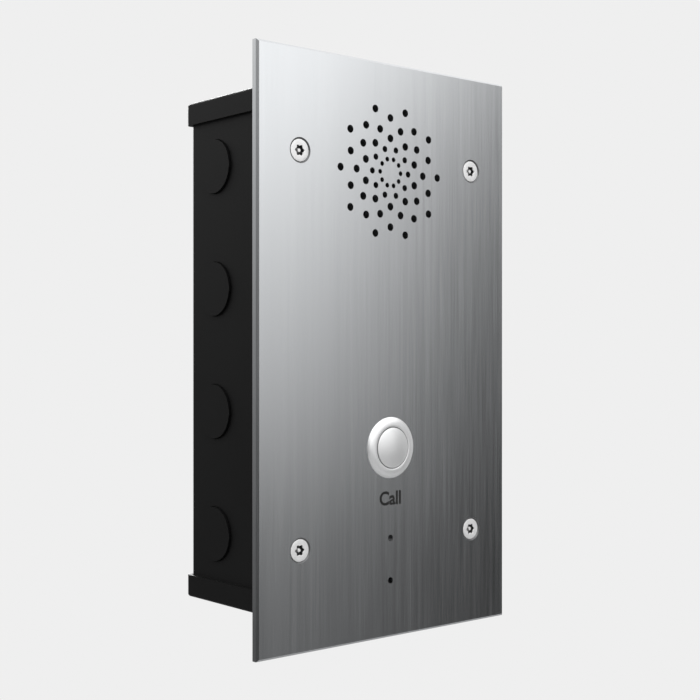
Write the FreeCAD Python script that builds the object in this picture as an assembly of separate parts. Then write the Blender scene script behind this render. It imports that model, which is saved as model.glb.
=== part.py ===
"""Flush door intercom: steel front panel, its electronics and a sheet steel back box.

Millimetres. X runs right, Y into the wall, Z up. The origin is the middle of the
front panel, on the plane of its rear face.
"""
import FreeCAD
import Part
import math
import os

V = FreeCAD.Vector

# front panel
plate_w = 131.6
plate_h = 230.0
plate_t = 3.0
plate_bevel = 0.9
front = -plate_t
gasket_t = 0.8

# back box
sheet = 1.5
body_half_w = 50.8
cap_half_w = body_half_w + sheet
cap_half_h = 102.0
box_back = 65.9
body_back = box_back - sheet
cap_lip = 9.0
cap_corner = 2.4
cap_edge = 1.1
flange_in = 41.0
bend = 2.5
knockout_r = 11.1
knockout_y = 46.4
knockout_zs = [-74.25, -24.75, 24.75, 74.25]
slug_proud = 1.0
slug_gap = 0.25
tie_half_w = 1.2
fixing_r = 2.6
fixing_x = 30.0
fixing_z = 70.0

# panel screws
screw_x = 45.75
screw_z = 75.7
screw_r = 1.95
screw_head_r = 4.3
screw_below = 0.3
sink_r = 4.85
screw_end = 8.0
nut_plate_t = 3.0

# loudspeaker
speaker_z = 71.2
hole_ring_r0 = 5.48
hole_ring_step = 4.095
hole_ds = [1.95, 2.5, 3.1, 3.1, 3.1, 3.1]
holes_per_ring = 10
offset_rings = [2, 4]
membrane_t = 0.3
foam_t = 1.5
speaker_r = 28.5
basket_t = 1.0
stud_ring_r = 32.0

# call button
button_z = -39.0
bezel_r = 12.25
bezel_h = 1.5
barrel_r = 10.95
bore_r = 8.25
cap_r = 8.15
seal_r = 11.9
guide_y0 = 6.0
guide_y1 = 8.0
stem_r = 3.15
stem_bore_r = 3.2
button_rear = 18.0
ring_depth = 0.8
ring_y0 = 0.2
ring_y1 = 1.3

# call light and microphone
light_z = -75.2
mic_z = -92.2
small_hole_r = 1.3
light_recess = 1.1
sensor_y = 6.0
sensor_t = 1.2
sensor_stud_xs = [-11.0, 11.0]
sensor_stud_z = -83.5

# main board
board_y = 14.0
board_t = 1.6
board_half_w = 39.5
board_z0 = -20.0
board_z1 = 38.0
board_rear = board_y + board_t
post_x = 36.0
post_zs = [-16.0, 34.0]


def block(x0, x1, y0, y1, z0, z1):
    return Part.makeBox(x1 - x0, y1 - y0, z1 - z0, V(x0, y0, z0))


def rod(radius, y0, y1, x=0.0, z=0.0):
    """A round bar along Y."""
    return Part.makeCylinder(radius, y1 - y0, V(x, y0, z), V(0, 1, 0))


def tube(outer, inner, y0, y1, x=0.0, z=0.0):
    return rod(outer, y0, y1, x, z).cut(rod(inner, y0 - 1, y1 + 1, x, z))


def turned(points, x=0.0, z=0.0):
    """A turned solid about a Y axis, from (radius, y) points."""
    corners = [V(r, y, 0) for r, y in points]
    face = Part.Face(Part.makePolygon(corners + corners[:1]))
    return face.revolve(V(0, 0, 0), V(0, 1, 0), 360).translated(V(x, 0, z))


def hexagon(flats, y0, y1, x=0.0, z=0.0):
    radius = flats / math.sqrt(3)
    corners = []
    for i in range(6):
        turn = math.radians(60 * i)
        corners.append(V(x + radius * math.cos(turn), y0, z + radius * math.sin(turn)))
    face = Part.Face(Part.makePolygon(corners + corners[:1]))
    return face.extrude(V(0, y1 - y0, 0))


def cut_all(shape, tools):
    return shape.cut(Part.makeCompound(tools))


def fuse_all(shapes):
    return shapes[0].fuse(shapes[1:]).removeSplitter()


def group(shapes):
    return Part.makeCompound(shapes)


def edges_at(shape, axis, value, tolerance=0.01):
    """The straight edges that lie in the plane axis = value."""
    found = []
    for edge in shape.Edges:
        ends = [getattr(v.Point, axis) for v in edge.Vertexes]
        if len(ends) == 2 and all(abs(e - value) < tolerance for e in ends):
            found.append(edge)
    return found


def upright_edges(shape, y, xs):
    """Edges along Z at depth y and at one of the given X."""
    found = []
    for edge in shape.Edges:
        points = [v.Point for v in edge.Vertexes]
        if len(points) != 2 or abs(points[0].z - points[1].z) < 1:
            continue
        at_y = all(abs(p.y - y) < 0.01 for p in points)
        at_x = all(min(abs(p.x - x) for x in xs) < 0.01 for p in points)
        if at_y and at_x:
            found.append(edge)
    return found


def screw_places():
    return [(x, z) for x in (-screw_x, screw_x) for z in (-screw_z, screw_z)]


def speaker_stud_places():
    reach = stud_ring_r * math.sqrt(0.5)
    return [(x, speaker_z + z) for x in (-reach, reach) for z in (-reach, reach)]


def post_places():
    return [(x, z) for x in (-post_x, post_x) for z in post_zs]


# ---- front panel ----

def speaker_holes():
    holes = []
    for ring, diameter in enumerate(hole_ds):
        radius = hole_ring_r0 + ring * hole_ring_step
        half_step = 180 / holes_per_ring if ring in offset_rings else 0
        for i in range(holes_per_ring):
            turn = math.radians(360 / holes_per_ring * i + half_step)
            x = radius * math.cos(turn)
            z = speaker_z + radius * math.sin(turn)
            holes.append(rod(diameter / 2, front - 1, 1, x, z))
    return holes


def face_plate():
    plate = block(-plate_w / 2, plate_w / 2, front, 0, -plate_h / 2, plate_h / 2)
    plate = plate.makeChamfer(plate_bevel, edges_at(plate, "y", front))
    holes = speaker_holes()
    holes.append(rod(barrel_r + 0.15, front - 1, 1, 0, button_z))
    holes.append(rod(small_hole_r, front - 1, 1, 0, light_z))
    holes.append(rod(small_hole_r, front - 1, 1, 0, mic_z))
    sink_depth = sink_r - 2.2
    sink = [(0, front), (sink_r, front), (2.2, front + sink_depth), (2.2, 0.5), (0, 0.5)]
    holes.extend(turned(sink, x, z) for x, z in screw_places())
    return cut_all(plate, holes)


def perimeter_gasket():
    outer = block(-body_half_w, body_half_w, 0, gasket_t, -cap_half_h, cap_half_h)
    window = block(-flange_in, flange_in, -1, 2, -cap_half_h + 2, cap_half_h - 2)
    holes = [rod(3.2, -1, 2, x, z) for x, z in screw_places()]
    return cut_all(outer, [window] + holes)


def panel_screw(x, z):
    top = front + screw_below
    cone_end = top + screw_head_r - screw_r
    head = [(0, top), (screw_head_r, top), (screw_r, cone_end), (screw_r, screw_end - 0.6)]
    screw = turned(head + [(screw_r - 0.6, screw_end), (0, screw_end)], x, z)
    lobes = [rod(1.6, top - 1, top + 1.5, x, z)]
    lobe_x = 1.7
    for i in range(6):
        turn = math.radians(60 * i)
        lobes.append(
            rod(0.5, top - 1, top + 1.5, x + lobe_x * math.cos(turn), z + lobe_x * math.sin(turn))
        )
    recess = fuse_all(lobes).cut(rod(0.75, top + 0.25, top + 3, x, z))
    return screw.cut(recess)


def panel_screws():
    return group([panel_screw(x, z) for x, z in screw_places()])


def screw_retainers():
    """Nylon washers that keep the screws in the panel when it is off the wall."""
    return group([tube(3.0, screw_r + 0.01, 0, 0.7, x, z) for x, z in screw_places()])


# ---- loudspeaker ----

def acoustic_membrane():
    return rod(speaker_r + 0.2, 0, membrane_t, 0, speaker_z)


def speaker_gasket():
    return tube(speaker_r, 25.5, membrane_t, membrane_t + foam_t, 0, speaker_z)


basket_y = membrane_t + foam_t


def speaker_basket():
    y = basket_y
    profile = [
        (25.6, y), (speaker_r, y), (speaker_r, y + basket_t), (26.1, y + basket_t),
        (19.6, y + 10.5), (19.6, y + 11.5), (9.0, y + 11.5), (9.0, y + 10.5),
        (18.6, y + 10.5), (25.1, y + 0.8),
    ]
    basket = turned(profile, 0, speaker_z)
    windows = []
    for i in range(4):
        window = block(-6.5, 6.5, y + 2.5, y + 9.5, 15.0, 40.0)
        window.rotate(V(0, 0, 0), V(0, 1, 0), 90 * i + 45)
        window.translate(V(0, 0, speaker_z))
        windows.append(window)
    return cut_all(basket, windows)


def cone_surround():
    y = basket_y
    profile = [(19.6, y + 0.6), (22.2, y - 0.6), (25.15, y + 0.25), (25.15, y + 0.55)]
    profile += [(22.2, y - 0.3), (19.6, y + 0.9)]
    return turned(profile, 0, speaker_z)


def speaker_cone():
    y = basket_y
    profile = [(19.5, y + 0.6), (19.5, y + 1.0), (7.4, y + 6.4), (7.4, y + 6.0)]
    return turned(profile, 0, speaker_z)


def dust_cap():
    y = basket_y
    profile = [(0, y + 3.4), (3.2, y + 3.8), (5.9, y + 4.8), (7.3, y + 6.0)]
    profile += [(7.0, y + 6.2), (5.7, y + 5.2), (3.1, y + 4.2), (0, y + 3.8)]
    return turned(profile, 0, speaker_z)


def voice_coil():
    y = basket_y
    former = tube(7.3, 7.1, y + 6.4, y + 14.0, 0, speaker_z)
    winding = tube(7.6, 7.3, y + 11.5, y + 14.0, 0, speaker_z)
    return fuse_all([former, winding])


def spider():
    y = basket_y
    profile = [(7.35, y + 8.2), (10.0, y + 8.8), (12.5, y + 8.0), (15.0, y + 8.8)]
    profile += [(17.4, y + 8.2), (17.4, y + 8.5), (15.0, y + 9.1), (12.5, y + 8.3)]
    profile += [(10.0, y + 9.1), (7.35, y + 8.5)]
    return turned(profile, 0, speaker_z)


def top_plate():
    y = basket_y + 11.5
    return tube(15.0, 8.0, y, y + 2.0, 0, speaker_z)


def speaker_magnet():
    y = basket_y + 13.5
    return tube(16.0, 9.5, y, y + 6.0, 0, speaker_z)


def magnet_yoke():
    y = basket_y + 19.5
    pole = rod(6.7, basket_y + 11.3, y, 0, speaker_z)
    plate = rod(15.0, y, y + 2.5, 0, speaker_z)
    return fuse_all([plate, pole])


def speaker_terminals():
    """Terminal board on the basket's foot, with two solder tags."""
    y = basket_y + 11.5
    z = speaker_z - 17.2
    board = block(-6, 6, y, y + 1.2, z - 1.5, z + 1.0)
    tags = [block(x - 1.2, x + 1.2, y + 1.2, y + 1.6, z - 4.5, z + 0.6) for x in (-3.5, 3.5)]
    return fuse_all([board] + tags)


def speaker_studs():
    seat = basket_y + basket_t
    studs = []
    for x, z in speaker_stud_places():
        studs.append(fuse_all([rod(2.4, 0, seat, x, z), rod(1.45, seat, seat + 6.5, x, z)]))
    return group(studs)


def speaker_clamps():
    """Small tabs on the studs that hold the basket's rim against its foam."""
    seat = basket_y + basket_t
    clamps = []
    for i in range(4):
        tab = block(-4.0, 4.0, seat, seat + 1.0, 26.6, 35.0)
        tab = tab.cut(rod(1.6, seat - 1, seat + 3, 0, stud_ring_r))
        tab.rotate(V(0, 0, 0), V(0, 1, 0), 90 * i + 45)
        tab.translate(V(0, 0, speaker_z))
        clamps.append(tab)
    return group(clamps)


def nut(flats, bore, thickness, y, x, z):
    return hexagon(flats, y, y + thickness, x, z).cut(rod(bore, y - 1, y + thickness + 1, x, z))


def stud_nuts():
    """M3 nuts on the speaker's and the small board's studs."""
    seat = basket_y + basket_t + 1.0
    nuts = [nut(5.5, 1.46, 2.4, seat, x, z) for x, z in speaker_stud_places()]
    back = sensor_y + sensor_t
    nuts.extend(nut(5.5, 1.46, 2.4, back, x, sensor_stud_z) for x in sensor_stud_xs)
    return group(nuts)


# ---- call button ----

def button_body():
    """Bezel and threaded barrel in one turned piece, with a wall that guides the stem."""
    face = front - bezel_h
    profile = [
        (bore_r, face + 0.15), (bore_r + 0.35, face), (9.4, face), (10.4, face + 0.2),
        (11.3, face + 0.55), (12.0, face + 1.0), (bezel_r, face + 1.3), (bezel_r, front),
        (seal_r, front), (seal_r, front - 0.4), (11.3, front - 0.4), (11.3, front),
        (barrel_r, front), (barrel_r, button_rear), (bore_r, button_rear),
        (bore_r, guide_y1), (stem_bore_r, guide_y1), (stem_bore_r, guide_y0), (bore_r, guide_y0),
    ]
    return turned(profile, 0, button_z)


def button_seal():
    return tube(seal_r - 0.05, 11.35, front - 0.35, front, 0, button_z)


def button_nut():
    return nut(26.0, barrel_r + 0.01, 3.0, 0.6, 0, button_z)


def button_washer():
    washer = tube(13.4, barrel_r + 0.05, 0, 0.6, 0, button_z)
    notches = []
    for i in range(12):
        notch = block(-0.8, 0.8, -1, 2, 12.6, 15)
        notch.rotate(V(0, 0, 0), V(0, 1, 0), 30 * i)
        notches.append(notch.translated(V(0, 0, button_z)))
    return cut_all(washer, notches)


def button_cap():
    """Domed push piece with its stem."""
    rim = front - bezel_h - 0.1
    crown = 0.85
    sphere_r = (cap_r ** 2 + crown ** 2) / (2 * crown)
    dome = Part.makeSphere(sphere_r, V(0, rim - crown + sphere_r, button_z))
    cap = rod(cap_r, rim - crown - 1, 2.6, 0, button_z).common(dome)
    cap = cap.cut(rod(6.9, -2.4, 4.0, 0, button_z))
    groove = tube(cap_r + 1, cap_r - ring_depth, ring_y0, ring_y1, 0, button_z)
    stem = rod(stem_r, -2.6, 9.4, 0, button_z)
    return fuse_all([cap.cut(groove), stem])


def cap_ring():
    return tube(bore_r - 0.02, cap_r - ring_depth, ring_y0, ring_y1, 0, button_z)


def return_spring():
    """Four closed rings joined by struts stand for the wire coil."""
    y0 = -2.35
    y1 = 5.95
    turns = 4
    wire = 0.7
    pitch = (y1 - y0 - wire) / (turns - 1)
    parts = [tube(5.6, 4.9, y0 + i * pitch, y0 + i * pitch + wire, 0, button_z) for i in range(turns)]
    for i in range(turns - 1):
        side = 5.25 if i % 2 else -5.25
        parts.append(
            block(side - 0.3, side + 0.3, y0 + i * pitch + wire / 2, y0 + (i + 1) * pitch + wire / 2,
                  button_z - 0.35, button_z + 0.35)
        )
    return fuse_all(parts)


def contact_block():
    well_end = 13.0
    body = fuse_all([
        rod(bore_r - 0.05, 8.1, button_rear, 0, button_z),
        rod(barrel_r - 0.6, button_rear, 22.0, 0, button_z),
    ])
    return body.cut(rod(3.8, 7.0, well_end, 0, button_z))


def button_terminals():
    blades = []
    for x in (-5.0, 5.0):
        for z in (-4.0, 4.0):
            blades.append(block(x - 0.3, x + 0.3, 22.0, 27.5, button_z + z - 1.4, button_z + z + 1.4))
    return group(blades)


# ---- call light and microphone ----

def light_pipe():
    face = front + light_recess
    nose_r = small_hole_r - 0.05
    rear = sensor_y - 1.2
    profile = [(0, face), (nose_r, face), (nose_r, 0.3), (2.2, 0.3), (2.2, 1.5)]
    profile += [(1.3, 1.5), (1.3, rear), (0, rear)]
    return turned(profile, 0, light_z)


def call_light():
    return block(-0.8, 0.8, 4.9, sensor_y, light_z - 0.6, light_z + 0.6)


def mic_boot():
    boot = rod(4.6, 0, 5.0, 0, mic_z)
    boot = boot.cut(rod(3.05, 2.0, 6.0, 0, mic_z))
    return boot.cut(rod(small_hole_r - 0.2, -1.0, 3.0, 0, mic_z))


def mic_capsule():
    pins = [rod(0.3, 4.8, sensor_y, x, mic_z) for x in (-1.27, 1.27)]
    return fuse_all([rod(3.0, 2.0, 4.9, 0, mic_z)] + pins)


def sensor_board():
    board = block(-15, 15, sensor_y, sensor_y + sensor_t, -98, -69)
    holes = [rod(1.6, sensor_y - 1, sensor_y + 3, x, sensor_stud_z) for x in sensor_stud_xs]
    return cut_all(board, holes)


def sensor_studs():
    studs = []
    for x in sensor_stud_xs:
        post = rod(2.6, 0, sensor_y, x, sensor_stud_z)
        thread = rod(1.45, sensor_y, sensor_y + 5.0, x, sensor_stud_z)
        studs.append(fuse_all([post, thread]))
    return group(studs)


# ---- main board ----

def main_board():
    board = block(-board_half_w, board_half_w, board_y, board_rear, board_z0, board_z1)
    holes = [rod(1.6, board_y - 1, board_rear + 1, x, z) for x, z in post_places()]
    return cut_all(board, holes)


def board_posts():
    posts = []
    for x, z in post_places():
        post = hexagon(5.5, 0, board_y, x, z)
        posts.append(post.cut(rod(1.25, 6.0, board_y + 1, x, z)))
    return group(posts)


def board_screws():
    screws = []
    for x, z in post_places():
        head = rod(2.8, board_rear, board_rear + 2.0, x, z)
        slot = fuse_all([
            block(x - 1.6, x + 1.6, board_rear + 0.9, board_rear + 3, z - 0.3, z + 0.3),
            block(x - 0.3, x + 0.3, board_rear + 0.9, board_rear + 3, z - 1.6, z + 1.6),
        ])
        thread = rod(1.24, board_rear - 7.0, board_rear, x, z)
        screws.append(fuse_all([head.cut(slot), thread]))
    return group(screws)


jack_x = -24.0
jack_w = 15.8
jack_y1 = board_rear + 13.4
jack_z0 = board_z0 - 0.8
jack_z1 = jack_z0 + 21.3


def network_jack():
    """Screened network socket that faces down."""
    shell = block(jack_x - jack_w / 2, jack_x + jack_w / 2, board_rear, jack_y1, jack_z0, jack_z1)
    port = block(jack_x - 5.9, jack_x + 5.9, board_rear + 3.2, board_rear + 9.9, jack_z0 - 1, jack_z0 + 14)
    latch = block(jack_x - 3.1, jack_x + 3.1, board_rear + 9.8, board_rear + 11.9, jack_z0 - 1, jack_z0 + 9)
    return cut_all(shell, [port, latch])


def jack_contacts():
    wires = []
    for i in range(8):
        x = jack_x + (i - 3.5) * 1.02
        wires.append(
            block(x - 0.2, x + 0.2, board_rear + 3.2, board_rear + 3.5, jack_z0 + 2.5, jack_z0 + 12.5)
        )
    return group(wires)


way_count = 6
way_pitch = 5.08
header_x0 = -2.0
header_x1 = header_x0 + way_count * way_pitch + 1.6
header_z0 = board_z0 + 1.5
header_z1 = header_z0 + 8.6


def way_xs():
    return [header_x0 + 0.8 + way_pitch * (i + 0.5) for i in range(way_count)]


def terminal_header():
    shell = block(header_x0, header_x1, board_rear, board_rear + 8.4, header_z0, header_z1)
    well = block(header_x0 + 0.8, header_x1 - 0.8, board_rear + 1.6, board_rear + 9,
                 header_z0 + 0.8, header_z1 - 0.8)
    return shell.cut(well)


def header_pins():
    z = (header_z0 + header_z1) / 2
    y0 = board_rear + 1.6
    return group([block(x - 0.5, x + 0.5, y0, y0 + 6.0, z - 0.5, z + 0.5) for x in way_xs()])


plug_y0 = board_rear + 1.9
plug_y1 = plug_y0 + 18.0


def terminal_plug():
    """Pull-off terminal block. The wires enter from below and the screws face the rear."""
    nose = block(header_x0 + 1.0, header_x1 - 1.0, plug_y0, board_rear + 8.8,
                 header_z0 + 1.0, header_z1 - 1.0)
    head = block(header_x0, header_x1, board_rear + 8.6, plug_y1, header_z0 - 2.6, header_z1 + 1.6)
    plug = fuse_all([nose, head])
    z = (header_z0 + header_z1) / 2
    cuts = []
    for x in way_xs():
        cuts.append(block(x - 0.7, x + 0.7, plug_y0 - 1, board_rear + 8.3, z - 0.7, z + 0.7))
        cuts.append(block(x - 1.6, x + 1.6, plug_y1 - 8.6, plug_y1 - 5.4, header_z0 - 3.6, z))
        cuts.append(rod(1.9, plug_y1 - 4.2, plug_y1 + 1, x, z))
    return cut_all(plug, cuts)


def terminal_screws():
    z = (header_z0 + header_z1) / 2
    screws = []
    for x in way_xs():
        head = rod(1.7, plug_y1 - 3.4, plug_y1 - 1.2, x, z)
        slot = block(x - 1.8, x + 1.8, plug_y1 - 2.0, plug_y1, z - 0.25, z + 0.25)
        screws.append(fuse_all([head.cut(slot), rod(1.2, plug_y1 - 4.2, plug_y1 - 3.4, x, z)]))
    return group(screws)


def transformer():
    core = block(8, 24, board_rear, board_rear + 12, 12, 28)
    window = group([block(8.0, 24.0, board_rear + 3, board_rear + 9, 11, 14.4),
                    block(8.0, 24.0, board_rear + 3, board_rear + 9, 25.6, 29)])
    return core.cut(window)


def relay():
    top = board_rear + 15
    body = block(-4, 4, board_rear, top, 10, 30)
    return body.makeFillet(0.6, edges_at(body, "y", top))


def capacitors():
    cans = []
    for x, z, radius, height in ((30.0, 24.0, 4.0, 12.0), (30.0, 14.0, 4.0, 12.0), (31.0, 4.0, 3.15, 11.0)):
        can = rod(radius, board_rear, board_rear + height, x, z)
        groove = tube(radius + 1, radius - 0.3, board_rear + 2.0, board_rear + 2.8, x, z)
        cans.append(can.cut(groove))
    return group(cans)


def chips():
    """Square and oblong black packages on the rear of the board."""
    places = [(-16, 22, 12, 12, 1.4), (-32, 24, 8, 6, 1.4), (-30, 12, 6, 5, 1.2), (18, 2, 7, 5, 1.6)]
    shapes = []
    for x, z, w, h, t in places:
        shapes.append(block(x - w / 2, x + w / 2, board_rear, board_rear + t, z - h / 2, z + h / 2))
    return group(shapes)


def reset_switch():
    y = board_rear
    frame = block(-17, -11, y, y + 3.4, 4, 10)
    return frame.cut(rod(1.85, y + 1.2, y + 5, -14, 7))


def reset_key():
    y = board_rear
    return rod(1.8, y + 1.6, y + 4.4, -14, 7)


def lead_sockets():
    """White three-way sockets for the speaker, button and sensor leads."""
    sockets = []
    for x, z in lead_places():
        body = block(x - 4, x + 4, board_rear, board_rear + 5.6, z - 2.4, z + 2.4)
        sockets.append(body.cut(block(x - 3.3, x + 3.3, board_rear + 1.0, board_rear + 7, z - 1.7, z + 1.7)))
    return group(sockets)


def lead_places():
    return [(0.0, 34.5), (-34.5, 4.0), (-9.0, -14.0)]


def lead_plugs():
    plugs = []
    for x, z in lead_places():
        plugs.append(block(x - 3.2, x + 3.2, board_rear + 1.0, board_rear + 8.0, z - 1.6, z + 1.6))
    return group(plugs)


# ---- leads ----

wire_r = 0.65


def lead(points, radius):
    """A round wire: straight runs joined by tangent arcs that are as large as the runs allow."""
    pts = [V(*p) for p in points]
    edges = []
    radii = []
    last = pts[0]
    for i in range(1, len(pts) - 1):
        into = pts[i].sub(pts[i - 1])
        out = pts[i + 1].sub(pts[i])
        run = 0.45 * min(into.Length, out.Length)
        into.normalize()
        out.normalize()
        half_turn = into.getAngle(out) / 2
        arc_r = run / math.tan(half_turn)
        radii.append(round(arc_r, 1))
        start = pts[i] - into * run
        end = pts[i] + out * run
        bisector = (start + end) * 0.5 - pts[i]
        bisector.normalize()
        middle = pts[i] + bisector * (arc_r / math.cos(half_turn) - arc_r)
        edges.append(Part.LineSegment(last, start).toShape())
        edges.append(Part.Arc(start, middle, end).toShape())
        last = end
    edges.append(Part.LineSegment(last, pts[-1]).toShape())
    path = Part.Wire(edges)
    circle = Part.Wire(Part.makeCircle(radius, pts[0], pts[1] - pts[0]))
    solid = path.makePipeShell([circle], True, False)
    ratio = solid.Volume / (math.pi * radius ** 2 * path.Length)
    print("  lead radii", radii, "volume ratio", round(ratio, 4))
    return solid


plug_rear = board_rear + 8.0


def speaker_leads():
    leads = []
    for side in (-1, 1):
        leads.append(lead([
            (3.5 * side, basket_y + 13.1, 50.2),
            (3.5 * side, 19.8, 50.2),
            (2.8 * side, 24.6, 47.6),
            (2.0 * side, 28.6, 43.0),
            (1.0 * side, 29.4, 34.5),
            (1.0 * side, plug_rear, 34.5),
        ], wire_r))
    return group(leads)


def button_leads():
    leads = []
    for side in (-1, 1):
        leads.append(lead([
            (-5.0, 27.5, button_z + 4.0 * side),
            (-5.0, 32.8, button_z + 4.0 * side),
            (-9.8, 37.4, -34.0 + 3.4 * side),
            (-15.4, 39.6, -27.4 + 2.6 * side),
            (-21.9, 39.4, -19.6 + 1.9 * side),
            (-28.0, 37.2, -11.6 + 1.5 * side),
            (-32.8, 33.6, -3.4 + 1.2 * side),
            (-34.5, 29.8, 4.0 + 0.9 * side),
            (-34.5, plug_rear, 4.0 + 0.9 * side),
        ], wire_r))
    return group(leads)


def sensor_leads():
    leads = []
    for i in range(3):
        dx = 1.4 * (i - 1)
        leads.append(lead([
            (-11.5 + dx, sensor_y + sensor_t, -72.5),
            (-11.5 + dx, 11.9, -72.5),
            (-15.0 + dx, 15.0, -66.6),
            (-17.2 + dx, 16.2, -59.6),
            (-17.9 + dx, 17.0, -51.4),
            (-17.8 + dx, 18.6, -43.0),
            (-16.9 + dx, 21.6, -34.8),
            (-14.7 + dx, 25.6, -27.4),
            (-11.2 + dx, 29.0, -21.0),
            (-9.0 + dx, 30.4, -14.0),
            (-9.0 + dx, plug_rear, -14.0),
        ], 0.5))
    return group(leads)


# ---- back box ----

def knockout_places():
    return [(side, z) for side in (-1, 1) for z in knockout_zs]


def wall_disc(radius, x0, x1, z):
    """A disc across X at the depth of the knockouts."""
    return Part.makeCylinder(radius, x1 - x0, V(x0, knockout_y, z), V(1, 0, 0))


def box_body():
    """Sides, back and folded front flanges, bent from one sheet."""
    end = cap_half_h - sheet
    outer = block(-body_half_w, body_half_w, gasket_t, body_back, -end, end)
    outer = outer.makeFillet(bend, upright_edges(outer, body_back, (-body_half_w, body_half_w)))
    outer = outer.makeFillet(1.0, upright_edges(outer, gasket_t, (-body_half_w, body_half_w)))
    inner_w = body_half_w - sheet
    inner = block(-inner_w, inner_w, gasket_t + sheet, body_back - sheet, -end - 1, end + 1)
    inner = inner.makeFillet(bend - sheet, upright_edges(inner, body_back - sheet, (-inner_w, inner_w)))
    mouth = block(-flange_in, flange_in, -1, gasket_t + sheet + 1, -end - 1, end + 1)
    holes = [wall_disc(knockout_r, side * body_half_w - 3, side * body_half_w + 3, z)
             for side, z in knockout_places()]
    holes.extend(rod(2.4, 0, 4, x, z) for x, z in screw_places())
    holes.extend(rod(fixing_r, body_back - 3, body_back + 1, x, z)
                 for x in (-fixing_x, fixing_x) for z in (-fixing_z, fixing_z))
    return cut_all(outer.cut(inner).cut(mouth), holes)


def end_cap(sign):
    """Top or bottom of the box: a tray with lips that wrap the sides and the back."""
    lip_end = cap_half_h - cap_lip
    tray = block(-cap_half_w, cap_half_w, gasket_t, box_back, lip_end, cap_half_h)
    tray = tray.makeFillet(cap_corner, upright_edges(tray, box_back, (-cap_half_w, cap_half_w)))
    tray = tray.makeFillet(cap_edge, edges_at(tray, "z", cap_half_h))
    hollow = block(-body_half_w, body_half_w, gasket_t - 1, body_back, lip_end - 1, cap_half_h - sheet)
    tray = tray.cut(hollow)
    if sign < 0:
        tray = tray.mirror(V(0, 0, 0), V(0, 0, 1))
    return tray


def top_cap():
    return end_cap(1)


def bottom_cap():
    return end_cap(-1)


def knockout_slugs():
    """Half-punched discs that stand out of the sides, held by two narrow ties each."""
    slugs = []
    for side, z in knockout_places():
        face = side * (body_half_w + slug_proud)
        back = side * (body_half_w + slug_proud - sheet)
        x0, x1 = min(face, back), max(face, back)
        disc = wall_disc(knockout_r - slug_gap, x0, x1, z)
        reach = knockout_r + 1
        tie = block(x0, x1, knockout_y - reach, knockout_y + reach, z - tie_half_w, z + tie_half_w)
        slugs.append(disc.fuse(tie.common(wall_disc(knockout_r, x0, x1, z))).removeSplitter())
    return group(slugs)


def nut_plates():
    """Tapped blocks behind the front flanges that take the panel screws."""
    plates = []
    y0 = gasket_t + sheet
    for x, z in screw_places():
        side = 1 if x > 0 else -1
        x0, x1 = sorted([side * 42.0, side * (body_half_w - sheet - 0.1)])
        plate = block(x0, x1, y0, y0 + nut_plate_t, z - 8, z + 8)
        plates.append(plate.cut(rod(screw_r + 0.05, y0 - 1, y0 + 5, x, z)))
    return group(plates)


def ground_stud():
    """Welded earth stud with its nut and washer, on the inside of the back."""
    wall = body_back - sheet
    x, z = 38.0, -85.0
    stud = rod(1.98, wall - 12, wall, x, z)
    washer = tube(4.5, 2.0, wall - 4.8, wall - 4.0, x, z)
    return group([stud, washer, nut(7.0, 2.0, 3.2, wall - 8.0, x, z)])


nodes = [
    face_plate, perimeter_gasket, panel_screws, screw_retainers,
    acoustic_membrane, speaker_gasket, speaker_basket, cone_surround, speaker_cone, dust_cap,
    voice_coil, spider, top_plate, speaker_magnet, magnet_yoke, speaker_terminals,
    speaker_studs, speaker_clamps, stud_nuts,
    button_body, button_seal, button_washer, button_nut, button_cap, cap_ring, return_spring,
    contact_block, button_terminals,
    light_pipe, call_light, mic_boot, mic_capsule, sensor_board, sensor_studs,
    main_board, board_posts, board_screws, network_jack, jack_contacts,
    terminal_header, header_pins, terminal_plug, terminal_screws,
    transformer, relay, capacitors, chips, reset_switch, reset_key,
    lead_sockets, lead_plugs, speaker_leads, button_leads, sensor_leads,
    box_body, top_cap, bottom_cap, knockout_slugs, nut_plates, ground_stud,
]

os.makedirs("parts", exist_ok=True)
for make in nodes:
    shape = make()
    if not shape.isValid() or shape.Volume <= 0:
        raise ValueError(make.__name__ + " isn't a good solid")
    shape.exportStep("parts/" + make.__name__ + ".step")
    print(make.__name__, len(shape.Solids), round(shape.Volume, 1))
print(len(nodes), "nodes")
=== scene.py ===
import bpy
import bmesh
import math
import random
from mathutils import Matrix, Vector


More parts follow.
